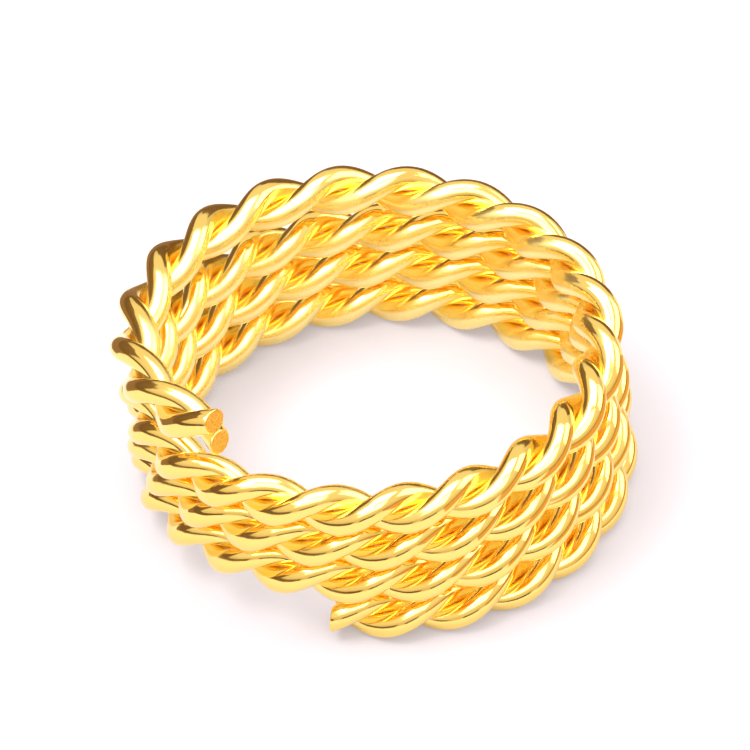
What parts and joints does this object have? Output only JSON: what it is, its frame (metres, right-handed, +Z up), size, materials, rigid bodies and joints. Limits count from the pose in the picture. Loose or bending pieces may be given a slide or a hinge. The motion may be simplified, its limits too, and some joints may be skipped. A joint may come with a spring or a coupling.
{
  "type": "braid hair ring",
  "caption": "Short open coil of rope twisted from two round wires, worn round a braid or lock of hair.",
  "frame": {"origin": "on the coil's axis, in the plane that its bottom turn rests on", "axes": "+Z up along the coil's axis, +X to the right and -Y towards the viewer of the picture; the upper cut end points to -X -Y"},
  "size_m": [0.0142, 0.0143, 0.0076],
  "materials": {
    "gold_wire": "polished gold-tone plating"
  },
  "bodies": {
    "root": {"first_wire": "gold_wire", "second_wire": "gold_wire"}
  },
  "joints": []
}
